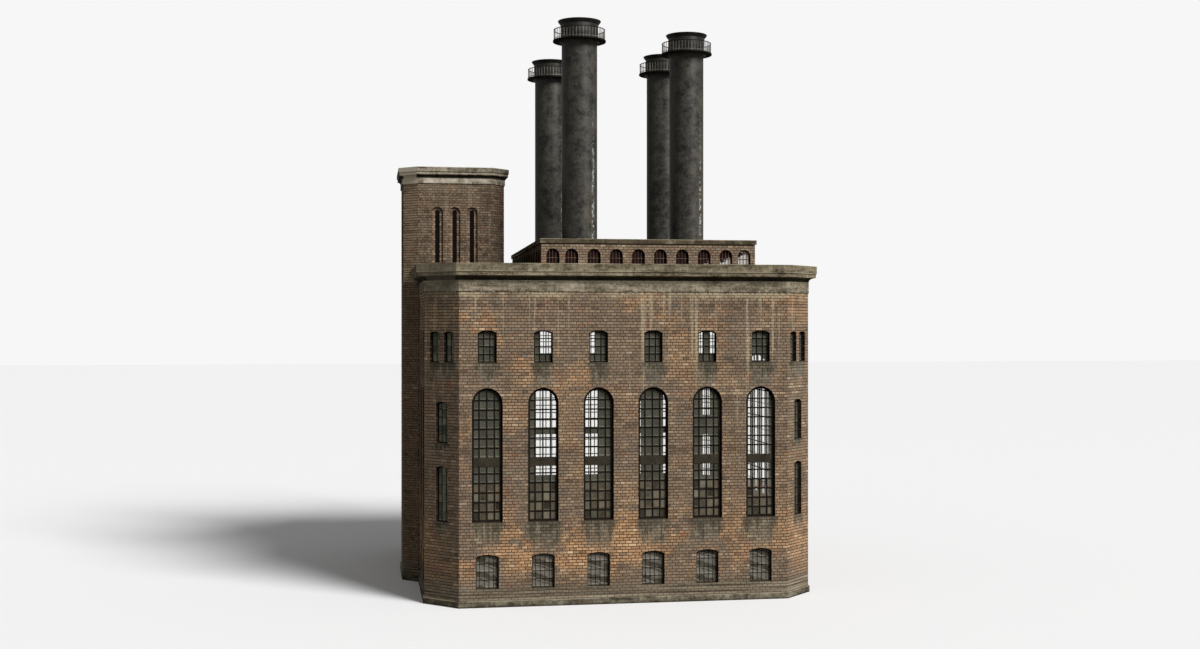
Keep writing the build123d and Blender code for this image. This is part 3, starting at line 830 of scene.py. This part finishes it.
# Bricks
hair = 1e-5  # how near beside a cut the heights on its two sides are taken
arch_cuts = 8
least_step = 0.005
least_stand = 0.002
shortest_brick = 0.04
lowest_brick = 0.03
row_spread = 0.06
brick_spread = 0.11
uneven_stand = (-0.003, 0.004)


def clear_height(place, foot, top, openings):
    """Lowest and highest point of a brick at a place along the wall, clear of the openings."""
    for x, opening in openings:
        if abs(place - x) < opening.width / 2:
            if foot < opening.sill:
                return foot, min(top, opening.sill)
            return min(max(foot, head_level(opening, place - x)), top), top
    return foot, top


def brick_columns(start, end, foot, top, openings):
    """Upright cuts through a brick; at an opening's side there is one for each side of it."""
    near = [(x, o) for x, o in openings if abs((start + end) / 2 - x) < (o.width + end - start) / 2]
    near = [(x, o) for x, o in near if o.sill < top and crown(o) > foot]
    places = {start, end}
    for x, opening in near:
        steps = arch_cuts if top > opening.springing else 1
        cuts = [x + opening.width / 2 * step / steps for step in range(-steps, steps + 1)]
        cuts += [x + side * half_at(opening, level) for side in (-1, 1) for level in (foot, top)]
        places.update(place for place in cuts if start < place < end)
    columns = []
    for place in sorted(places):
        before = (place, *clear_height(place - hair, foot, top, near))
        after = (place, *clear_height(place + hair, foot, top, near))
        if place > start:
            columns.append(before)
        if place < end and (place == start or abs(sum(before) - sum(after)) > least_step):
            columns.append(after)
    return columns


def stands(column):
    return column[2] - column[1] > least_stand


def brick_runs(columns):
    """Stretches of a brick that no opening takes away, with a tip where an arch cuts one off."""
    run = []
    for column in columns:
        if run and column[0] == run[-1][0]:
            if len(run) > 1:
                yield run
            run = []
        if stands(column):
            run.append(column)
            continue
        if run and stands(run[-1]):
            yield run + [column]
        run = [column]
    if len(run) > 1:
        yield run


def lay_brick(mesh, face, run, tone):
    """One brick, its outer edges worn, standing a little out of the mortar."""
    first, last = run[0][0], run[-1][0]
    if last - first < 3 * brick_edge:
        return
    stand = brick_stand + random_tones.uniform(*uneven_stand)
    outline, worn = [], []
    for side in (1, -1):
        for place, bottom, head in run[::side]:
            level = bottom if side == 1 else head
            inner = min(max(place, first + brick_edge), last - brick_edge)
            room = min(brick_edge, (head - bottom) / 2)
            outline.append(on_wall(face, place, level, -brick_root))
            worn.append(on_wall(face, inner, level + side * room, stand))
    mesh.prism(outline, worn, float(np.clip(tone, 0.0, 1.0)))


# A stretch of wall to be laid; head gives the wall's top where it slopes
Stretch = namedtuple("Stretch", "face span levels openings bond head", defaults=((), block_bond, None))


def lay_courses(mesh, stretch):
    """Running bond over a stretch of wall."""
    (start, end), (low_level, high_level), bond = stretch.span, stretch.levels, stretch.bond
    first_row = round((low_level - plinth_top) / bond.course)
    last_row = math.ceil((high_level - plinth_top) / bond.course)
    for row in range(first_row, last_row):
        row_tone = random_tones.normal(bond.tone, row_spread)
        foot = plinth_top + row * bond.course + bond.bed_joint / 2
        top = foot + bond.course - bond.bed_joint
        joints = np.arange(math.floor(start / bond.pitch) - 1, math.ceil(end / bond.pitch) + 2)
        joints = joints + (row % 2) / 2 + random_tones.uniform(-uneven_length, uneven_length, len(joints))
        for joint, next_joint in zip(joints * bond.pitch, joints[1:] * bond.pitch):
            left_end = max(joint + bond.cross_joint / 2, start)
            right_end = min(next_joint - bond.cross_joint / 2, end)
            limit = stretch.head((left_end + right_end) / 2) if stretch.head else high_level
            brick_top = min(top, limit)
            if right_end - left_end < shortest_brick or brick_top - foot < lowest_brick:
                continue
            tone = random_tones.normal(row_tone, brick_spread)
            columns = brick_columns(left_end, right_end, foot, brick_top, stretch.openings)
            for run in brick_runs(columns):
                lay_brick(mesh, stretch.face, run, tone)


def bay_openings(places):
    return [(x, window) for x in places for window in (lower_window, tall_window, upper_window)]


def whole_span(half):
    """Span of a wall, lengthened so that its bricks meet the next ones round a 45 degree corner."""
    reach = half + brick_stand * math.tan(math.radians(22.5))
    return (-reach, reach)


def lay_piece(name, kind, stretches):
    bricks = Mesh()
    for stretch in stretches:
        lay_courses(bricks, stretch)
    bricks.build(name, brick[kind], "brick")


def lay_block():
    """Bricks of the block's sides and cut corners; the tower covers the middle of the left side."""
    levels = (plinth_top, wall_top)
    front_openings, side_openings = bay_openings(front_places), bay_openings(side_places)
    for name, face in (("bricks_front", front), ("bricks_back", back)):
        lay_piece(name, "front", [Stretch(face, whole_span(half_front), levels, front_openings)])
    start, end = whole_span(half_side)
    great_openings = side_openings + [(0, great_window)]
    lay_piece("bricks_right", "side", [Stretch(right, (start, end), levels, great_openings)])
    beside_tower = ((start, -tower_half), (tower_half, end))
    lay_piece("bricks_left", "side", [Stretch(left, span, levels, side_openings) for span in beside_tower])
    openings = [(0, corner_lower), (0, corner_middle)] + [(x, corner_upper) for x in corner_pair]
    cut = whole_span(half_corner)
    lay_piece("bricks_corners", "corner", [Stretch(face, cut, levels, openings) for face in corners])


roof_row = plinth_top + math.floor((roof_top - plinth_top) / small_bond.course) * small_bond.course


def lay_tower():
    """The tower's bricks: outside the block from the plinth up, and all round above the roof."""
    under_roof, over_roof = (plinth_top, roof_row), (roof_row, tower_top)
    slots = [(x, slot_recess) for x in slot_places]
    flat = whole_span(tower_flat / 2)
    outside = tower_x + half_width
    flat_sides = (
        (Face(tower_x, -tower_half, -90), (flat[0], -outside)),
        (Face(tower_x, tower_half, 90), (outside, flat[1])),
        (Face(tower_left, 0, 180), flat),
        (Face(tower_right, 0, 0), None),
    )
    stretches = []
    for face, below in flat_sides:
        if below:
            stretches.append(Stretch(face, below, under_roof, bond=small_bond))
        stretches.append(Stretch(face, flat, over_roof, slots, dull_bond))
    away = tower_half - tower_cut / 2
    cut = whole_span(tower_cut / math.sqrt(2))
    for face in diagonal_faces(tower_x, away, away):
        bond = dull_bond
        if face.x < tower_x:
            stretches.append(Stretch(face, cut, under_roof, bond=small_bond))
            # The left chamfers above the roof take the paler tone as painted light
            bond = painted_light_bond
        stretches.append(Stretch(face, cut, over_roof, bond=bond))
    lay_piece("bricks_tower", "tower", stretches)


front_head = high("roof_house_front_wall").z
back_head = high("roof_house_back_wall").z
fall = (front_head - back_head) / (2 * house_half)
house_wide = (house_right - house_left) / 2
end_arch_gap = 1.3
front_arch_margin = 0.786
side_arch_margin = 1.4295


def arches(length, margin, count):
    """Arches evenly spaced, with one more nearer by at each end."""
    reach = length / 2 - margin - end_arch_gap
    inner = [2 * reach * i / (count - 1) - reach for i in range(count)]
    places = [inner[0] - end_arch_gap] + inner + [inner[-1] + end_arch_gap]
    return [(place, house_arch) for place in places]


front_arches = arches(2 * house_wide, front_arch_margin, 8)
side_arches = arches(2 * house_half, side_arch_margin, 10)
house_front = Face(house_x, -house_half, -90)
house_ends = ((house_front, front_head), (Face(house_x, house_half, 90), back_head))
house_sides = ((Face(house_right, 0, 0), 1), (Face(house_left, 0, 180), -1))


def sloping_head(way):
    """Level of the top of one of the roof house's side walls, by the place along it."""
    return lambda along: front_head - fall * (way * along + house_half)


def lay_roof_house():
    """The roof house's bricks, whose top falls to the back."""
    wide = (-house_wide - brick_stand, house_wide + brick_stand)
    deep = (-house_half, house_half)
    stretches = []
    for face, head in house_ends:
        stretches.append(Stretch(face, wide, (roof_row, head), front_arches, house_bond))
    for face, way in house_sides:
        rows = (roof_row, front_head)
        # The side walls take the darkest tone as painted shade
        stretches.append(Stretch(face, deep, rows, side_arches, painted_shade_bond, sloping_head(way)))
    lay_piece("bricks_roof_house", "roof_house", stretches)


# Salt crust
crust_out = 0.055
crust_share = 0.62
lump_lengths = (0.06, 0.35)
lump_heights = (0.02, 0.085)
lump_drops = (-0.05, 0.03)
lump_gaps = (0.0, 0.12)
lump_outline = ((0, 0.1), (0.3, -0.5), (0.75, -0.4), (1, 0.1), (0.7, 0.5), (0.25, 0.4))
lump_tip = 0.6


def crust_lumps(mesh, face, half):
    """Pale lumps of salt along the joint below the frieze."""
    place = -half
    while place < half:
        length = random_tones.uniform(*lump_lengths)
        height = random_tones.uniform(*lump_heights)
        centre = wall_top + random_tones.uniform(*lump_drops)
        if random_tones.random() < crust_share:
            ring = [
                (place + length * share, centre + height * lift * random_tones.uniform(0.7, 1.3))
                for share, lift in lump_outline
            ]
            base = [on_wall(face, along, level) for along, level in ring]
            middle = place + length / 2
            narrowed = [
                (middle + (along - middle) * lump_tip, centre + (level - centre) * lump_tip)
                for along, level in ring
            ]
            tip = [on_wall(face, along, level, crust_out) for along, level in narrowed]
            mesh.prism(base, tip, random_tones.random())
        place += length + random_tones.uniform(*lump_gaps)


def lay_crust():
    crust = Mesh()
    for face, half in ((front, half_front), (back, half_front), (right, half_side), (left, half_side)):
        crust_lumps(crust, face, half)
    for face in corners:
        crust_lumps(crust, face, half_corner)
    crust.build("salt_crust", salt_finish, "stone")


# Windows: widths of bars, setbacks of glass, and dust from a light film to a blind coat
window_bar = 0.092
far_bar = 0.085
upper_bar = 0.07
great_bar = 0.05
corner_bar = 0.03
arch_bar = 0.03
low_bar = 0.026
bar_edge = 0.004
bar_tuck = 0.01
level_bar_recess = 0.003
sash_lift = 0.04
arch_lift = 0.02
sash_recess = 0.006
glass_setback = reveal + frame_depth
house_setback = house_reveal + frame_depth
great_setback = half_width - high("great_window_glass").x
sash_outs = (-glass_setback, -reveal - sash_recess)
house_outs = (-house_setback, -house_reveal - sash_recess)
great_outs = (-great_setback, -great_setback + 0.05)
# Dark strips round the openings, partly frame and partly painted shadow: how far out they stand, and their
# widths
strip_outs = (sash_outs[1], sash_outs[1] + 0.02)
low_strip = 0.035
upper_strip = 0.09
tall_strip = 0.15
pane_gap = 0.01
pane_thickness = 0.01
narrowest_pane = 0.05
pane_head_cuts = 4
dusty_rim = 0.74
rim_dust = 1.9
middle_dust = 0.72
faint = 0.02
clear = 0.068
grimy = 0.24
coated = 0.66
blind = 1.0
coated_rows = 4
painted = 0.02
# Tone of the panes painted pale as light seen through them, and how far from the right end of the front
# they reach
painted_daylight = 0.9
daylight_reach = 4.2
uneven_dust = (0.75, 1.35)
bar_paint = {
    "lower_window": low_window_paint,
    "tall_window": window_paint,
    "upper_window": window_paint,
    "corner_window": low_window_paint,
    "great_window": window_paint,
    "roof_house": arch_paint,
}
bars = {kind: Mesh() for kind in bar_paint}
panes = {kind: Mesh() for kind in glazed}


def sash_levels(opening, lift=sash_lift):
    return (opening.sill + lift, crown(opening))


def across_places(opening):
    """Places of the upright bars, and of the two sides."""
    return [opening.width * (i / opening.across - 0.5) for i in range(opening.across + 1)]


def level_places(opening, foot, head):
    """Levels of the level bars of one sash, and of its foot and head."""
    count = round((min(head, crown(opening)) - foot) / opening.pane)
    return [foot + i * opening.pane for i in range(count)] + [head]


def glazing_bars(mesh, face, x, opening, levels, bar, outs):
    """Bars of one sash between two levels, each a flat strip with a narrower rib before it."""
    back_out, front_out = outs
    middle = (back_out + 2 * front_out) / 3
    for half, inner, outer in ((bar / 2, back_out, middle), (bar / 4, middle, front_out)):
        for along in across_places(opening)[1:-1]:
            top = min(levels[1], head_level(opening, along) - frame_bar + 2 * bar_tuck)
            span = (x + along - half, x + along + half)
            mesh.box(face, span, (levels[0], top), (inner, outer), bar_edge)
        for level in level_places(opening, *levels)[1:-1]:
            reach = half_at(opening, level, frame_bar) + bar_tuck
            span, thickness = (x - reach, x + reach), (inner, outer - level_bar_recess)
            mesh.box(face, span, (level - half, level + half), thickness, bar_edge)


def pane(mesh, face, outline, setback, dust):
    """One pane, dustier along its edges."""
    count = len(outline)
    middle = np.mean(outline, axis=0)
    inner = [middle + (np.array(point) - middle) * dusty_rim for point in outline]
    points = []
    for ring, out in ((outline, -setback - pane_thickness), (outline, -setback), (inner, -setback)):
        points += [on_wall(face, along, level, out) for along, level in ring]
    faces = []
    for shift in (0, count):
        for here in range(count):
            a, b = shift + here, shift + (here + 1) % count
            faces.append((a, b, b + count, a + count))
    faces += [tuple(range(2 * count, 3 * count)), tuple(reversed(range(count)))]
    mesh.add(points, faces, [dust * rim_dust] * (2 * count) + [dust * middle_dust] * 2)


def lay_panes(mesh, face, x, opening, levels, setback, dust):
    """Panes of one sash, cut to its head, each with dust of its own."""
    places = across_places(opening)
    heights = level_places(opening, *levels)
    for foot, top in zip(heights, heights[1:]):
        reach = half_at(opening, foot, frame_bar / 2)
        for start, end in zip(places, places[1:]):
            thickness = dust * random_tones.uniform(*uneven_dust)
            start, end = max(start + pane_gap, -reach), min(end - pane_gap, reach)
            if end - start < narrowest_pane:
                continue
            outline = [(x + start, foot + pane_gap), (x + end, foot + pane_gap)]
            for step in range(pane_head_cuts + 1):
                along = end + (start - end) * step / pane_head_cuts
                level = min(top - pane_gap, head_level(opening, along, -frame_bar / 2))
                outline.append((x + along, level))
            pane(mesh, face, outline, setback, thickness)


def fit_window(kind, face, x, opening, levels, bar, dust, glass=None):
    """Bars and panes of one sash; the glass may belong to another kind of window."""
    glazing_bars(bars[kind], face, x, opening, levels, bar, sash_outs)
    lay_panes(panes[glass or kind], face, x, opening, levels, glass_setback, dust)


def frame_shadow_strip(mesh, face, x, opening, width):
    """Dark strip round an opening, against its reveal: partly frame, partly painted shadow of the reveal.
    """
    rings = []
    for shrink in (0.0, width):
        half = opening.width / 2 - shrink
        ring = [(-half, opening.sill + shrink), (half, opening.sill + shrink)]
        for step in range(2 * arch_cuts + 1):
            along = half - half * step / arch_cuts
            ring.append((along, head_level(opening, along, -shrink)))
        rings.append(ring)
    count = len(rings[0])
    points = []
    for out in strip_outs:
        for ring in rings:
            points += [on_wall(face, x + along, level, out) for along, level in ring]
    faces = []
    for i in range(count):
        j = (i + 1) % count
        faces.append((2 * count + i, 2 * count + j, 3 * count + j, 3 * count + i))
        faces.append((3 * count + i, 3 * count + j, count + j, count + i))
    mesh.add(points, faces)


def glaze_bay(face, x):
    """Lower, tall and upper window of one bay; only the front's low panes are thickly coated."""
    bar, dust = (far_bar, faint) if face is back else (window_bar, clear)
    low_dust = coated if face is front else grimy
    fit_window("lower_window", face, x, lower_window, sash_levels(lower_window), low_bar, low_dust)
    foot = tall_window.sill + sash_lift
    coat_top = foot + coated_rows * tall_window.pane
    coat = coated if face is front else dust
    glazing_bars(bars["tall_window"], face, x, tall_window, (foot, spandrel_low), bar, sash_outs)
    for levels, thickness in (((foot, coat_top), coat), ((coat_top, spandrel_low), dust)):
        lay_panes(panes["tall_window"], face, x, tall_window, levels, glass_setback, thickness)
    fit_window("tall_window", face, x, tall_window, (spandrel_high, crown(tall_window)), bar, dust)
    fit_window("upper_window", face, x, upper_window, sash_levels(upper_window), upper_bar, dust)
    frame_shadow_strip(bars["lower_window"], face, x, lower_window, low_strip)
    frame_shadow_strip(bars["tall_window"], face, x, tall_window, tall_strip)
    frame_shadow_strip(bars["upper_window"], face, x, upper_window, upper_strip)


def glaze_corner(face):
    """Windows of a cut corner: clear on the right, blind and painted paler as painted light at the left
    front, grimy at the left back.
    """
    bar, dust = upper_bar, clear
    if face.x < 0:
        bar, dust = corner_bar, blind if face.y < 0 else grimy
    places = ((0, corner_lower, "tall_window"), (0, corner_middle, "tall_window"))
    places += tuple((x, corner_upper, "upper_window") for x in corner_pair)
    for x, opening, glass in places:
        fit_window("corner_window", face, x, opening, sash_levels(opening), bar, dust, glass)


def glaze_great_window():
    levels = sash_levels(great_window)
    glazing_bars(bars["great_window"], right, 0, great_window, levels, great_bar, great_outs)
    lay_panes(panes["great_window"], right, 0, great_window, levels, great_setback, faint)


def glaze_roof_house():
    """Arched windows of the roof house, with pale painted light as if seen through the panes at the right
    end of its front.
    """
    faces = [(face, front_arches) for face, head in house_ends]
    faces += [(face, side_arches) for face, way in house_sides]
    for face, openings in faces:
        for x, opening in openings:
            levels = sash_levels(opening, arch_lift)
            glazing_bars(bars["roof_house"], face, x, opening, levels, arch_bar, house_outs)
            coat = painted_daylight if face is house_front and x > house_wide - daylight_reach else painted
            lay_panes(panes["roof_house"], face, x, opening, levels, house_setback, coat)


def glaze():
    """All the windows, then a piece for the bars and one for the panes of each kind."""
    for face in (front, back):
        for x in front_places:
            glaze_bay(face, x)
    for face in (right, left):
        for x in side_places:
            glaze_bay(face, x)
    for face in corners:
        glaze_corner(face)
    glaze_great_window()
    glaze_roof_house()
    for kind, mesh in bars.items():
        mesh.build(f"{kind}_bars", bar_paint[kind], "steel_frame")
    for kind, mesh in panes.items():
        finish = arch_glass if kind == "roof_house" else pane_glass
        mesh.build(f"{kind}_panes", finish, "window_glass", (f"{kind}_glass",))


# Railings of the chimney galleries
rail_outer = high("chimney_railings").x - chimney_places[1].x
rail_width = 0.05
rail_middle = rail_outer - rail_width / 2
rail_thickness = 0.045
foot_rail_inset = 0.01
foot_rail_levels = (deck_top + 0.08, deck_top + 0.11)
baluster_count = 48
post_every = 6
post_half = 0.024
baluster_half = 0.015
baluster_levels = (deck_top - 0.002, rail_top - 0.01)


def ring_point(centre, radius, turn, level):
    return (centre.x + radius * math.cos(turn), centre.y + radius * math.sin(turn), level)


def ring_bar(mesh, centre, inner, outer, foot, top, steps=72):
    """Flat bar bent to a full circle."""
    loop = [(inner, foot), (outer, foot), (outer, top), (inner, top)]
    points = []
    for step in range(steps):
        turn = math.tau * step / steps
        points += [ring_point(centre, radius, turn, level) for radius, level in loop]
    faces = []
    for step in range(steps):
        here, there = 4 * step, 4 * ((step + 1) % steps)
        faces += [(here + i, there + i, there + (i + 1) % 4, here + (i + 1) % 4) for i in range(4)]
    mesh.add(points, faces)


def baluster(mesh, centre, turn, half):
    """Upright bar set square to the rail."""
    spin = half / rail_middle
    loop = [(rail_middle - half, turn - spin), (rail_middle + half, turn - spin)]
    loop += [(rail_middle + half, turn + spin), (rail_middle - half, turn + spin)]
    base, tip = ([ring_point(centre, r, a, level) for r, a in loop] for level in baluster_levels)
    mesh.prism(base, tip, closed=True)


def rail_galleries():
    """A top rail, a foot rail, and balusters with a thicker post at every sixth place."""
    railings, top_rails = Mesh(), Mesh()
    rail_inner = rail_outer - rail_width
    for centre in chimney_places:
        ring_bar(top_rails, centre, rail_inner, rail_outer, rail_top - rail_thickness, rail_top)
        inner, outer = rail_inner + foot_rail_inset, rail_outer - foot_rail_inset
        ring_bar(railings, centre, inner, outer, *foot_rail_levels)
        for i in range(baluster_count):
            half = baluster_half if i % post_every else post_half
            baluster(railings, centre, math.tau * i / baluster_count, half)
    railings.build("gallery_railings", rail_steel, "chimney_steel", ("chimney_railings",))
    top_rails.build("gallery_top_rails", deck_steel, "chimney_steel")


# Floor, light and camera, with angles in degrees
floor_reach = 600
floor_drop = 0.002
sky_strength = 0.23
backdrop_strength = 0.93
sun_strength = 4.0
sun_spread = 24
sun_height = 38
sun_bearing = 39
eye_place = (-17.116, -107.84, 18.25)
eye_turn = -9.304
lens_length = 43.455
lens_width = 36
lens_shift = 0.00125
far_clip = 2000


def seen_by_eye(sheet):
    """1 for rays straight to the eye or through glass."""
    camera = sheet.node("LightPath", {}, {}, "Is Camera Ray")
    return camera.larger(sheet.node("LightPath", {}, {}, "Is Transmission Ray"))


def stage_floor():
    """Pale floor that keeps the building's shadow."""
    mesh = bpy.data.meshes.new("studio_floor")
    sides = ((-1, -1), (1, -1), (1, 1), (-1, 1))
    mesh.from_pydata([(x * floor_reach, y * floor_reach, 0) for x, y in sides], [], [(0, 1, 2, 3)])
    floor = bpy.data.objects.new("studio_floor", mesh)
    bpy.context.scene.collection.objects.link(floor)
    sheet = material_sheet("studio_floor")
    colour = sheet.mix(seen_by_eye(sheet), paint(92, 90, 84), (0.9, 0.9, 0.9))
    mesh.materials.append(sheet.finish(colour, 1.0))
    floor.location.z = -floor_drop


def light():
    """Even sky, and a wide sun from the right of the front."""
    sky = Sheet(bpy.data.worlds.new("sky"))
    even = sky.node("Background", {}, {"Color": (1, 1, 1), "Strength": sky_strength})
    seen = sky.node("Background", {}, {"Color": (1, 1, 1), "Strength": backdrop_strength})
    both = sky.node("MixShader", {}, {0: seen_by_eye(sky), 1: even, 2: seen})
    sky.node("OutputWorld", {}, {"Surface": both})
    bpy.context.scene.world = sky.owner
    sun = bpy.data.lights.new("sun", "SUN")
    sun.energy = sun_strength
    sun.angle = math.radians(sun_spread)
    lamp = bpy.data.objects.new("sun", sun)
    bpy.context.scene.collection.objects.link(lamp)
    height, bearing = math.radians(sun_height), math.radians(sun_bearing)
    level_part = math.cos(height)
    towards = (math.sin(bearing) * level_part, -math.cos(bearing) * level_part, math.sin(height))
    lamp.rotation_euler = Vector(towards).to_track_quat("Z", "Y").to_euler()


def stand_camera():
    lens = bpy.data.cameras.new("view")
    lens.lens = lens_length
    lens.sensor_width = lens_width
    lens.shift_y = lens_shift
    lens.clip_end = far_clip
    camera = bpy.data.objects.new("view", lens)
    camera.location = eye_place
    camera.rotation_euler = (math.radians(90), 0, math.radians(eye_turn))
    bpy.context.scene.collection.objects.link(camera)
    bpy.context.scene.camera = camera


lay_block()
lay_tower()
lay_roof_house()
lay_crust()
glaze()
rail_galleries()
stage_floor()
light()
stand_camera()
bpy.context.scene.view_settings.view_transform = "Standard"
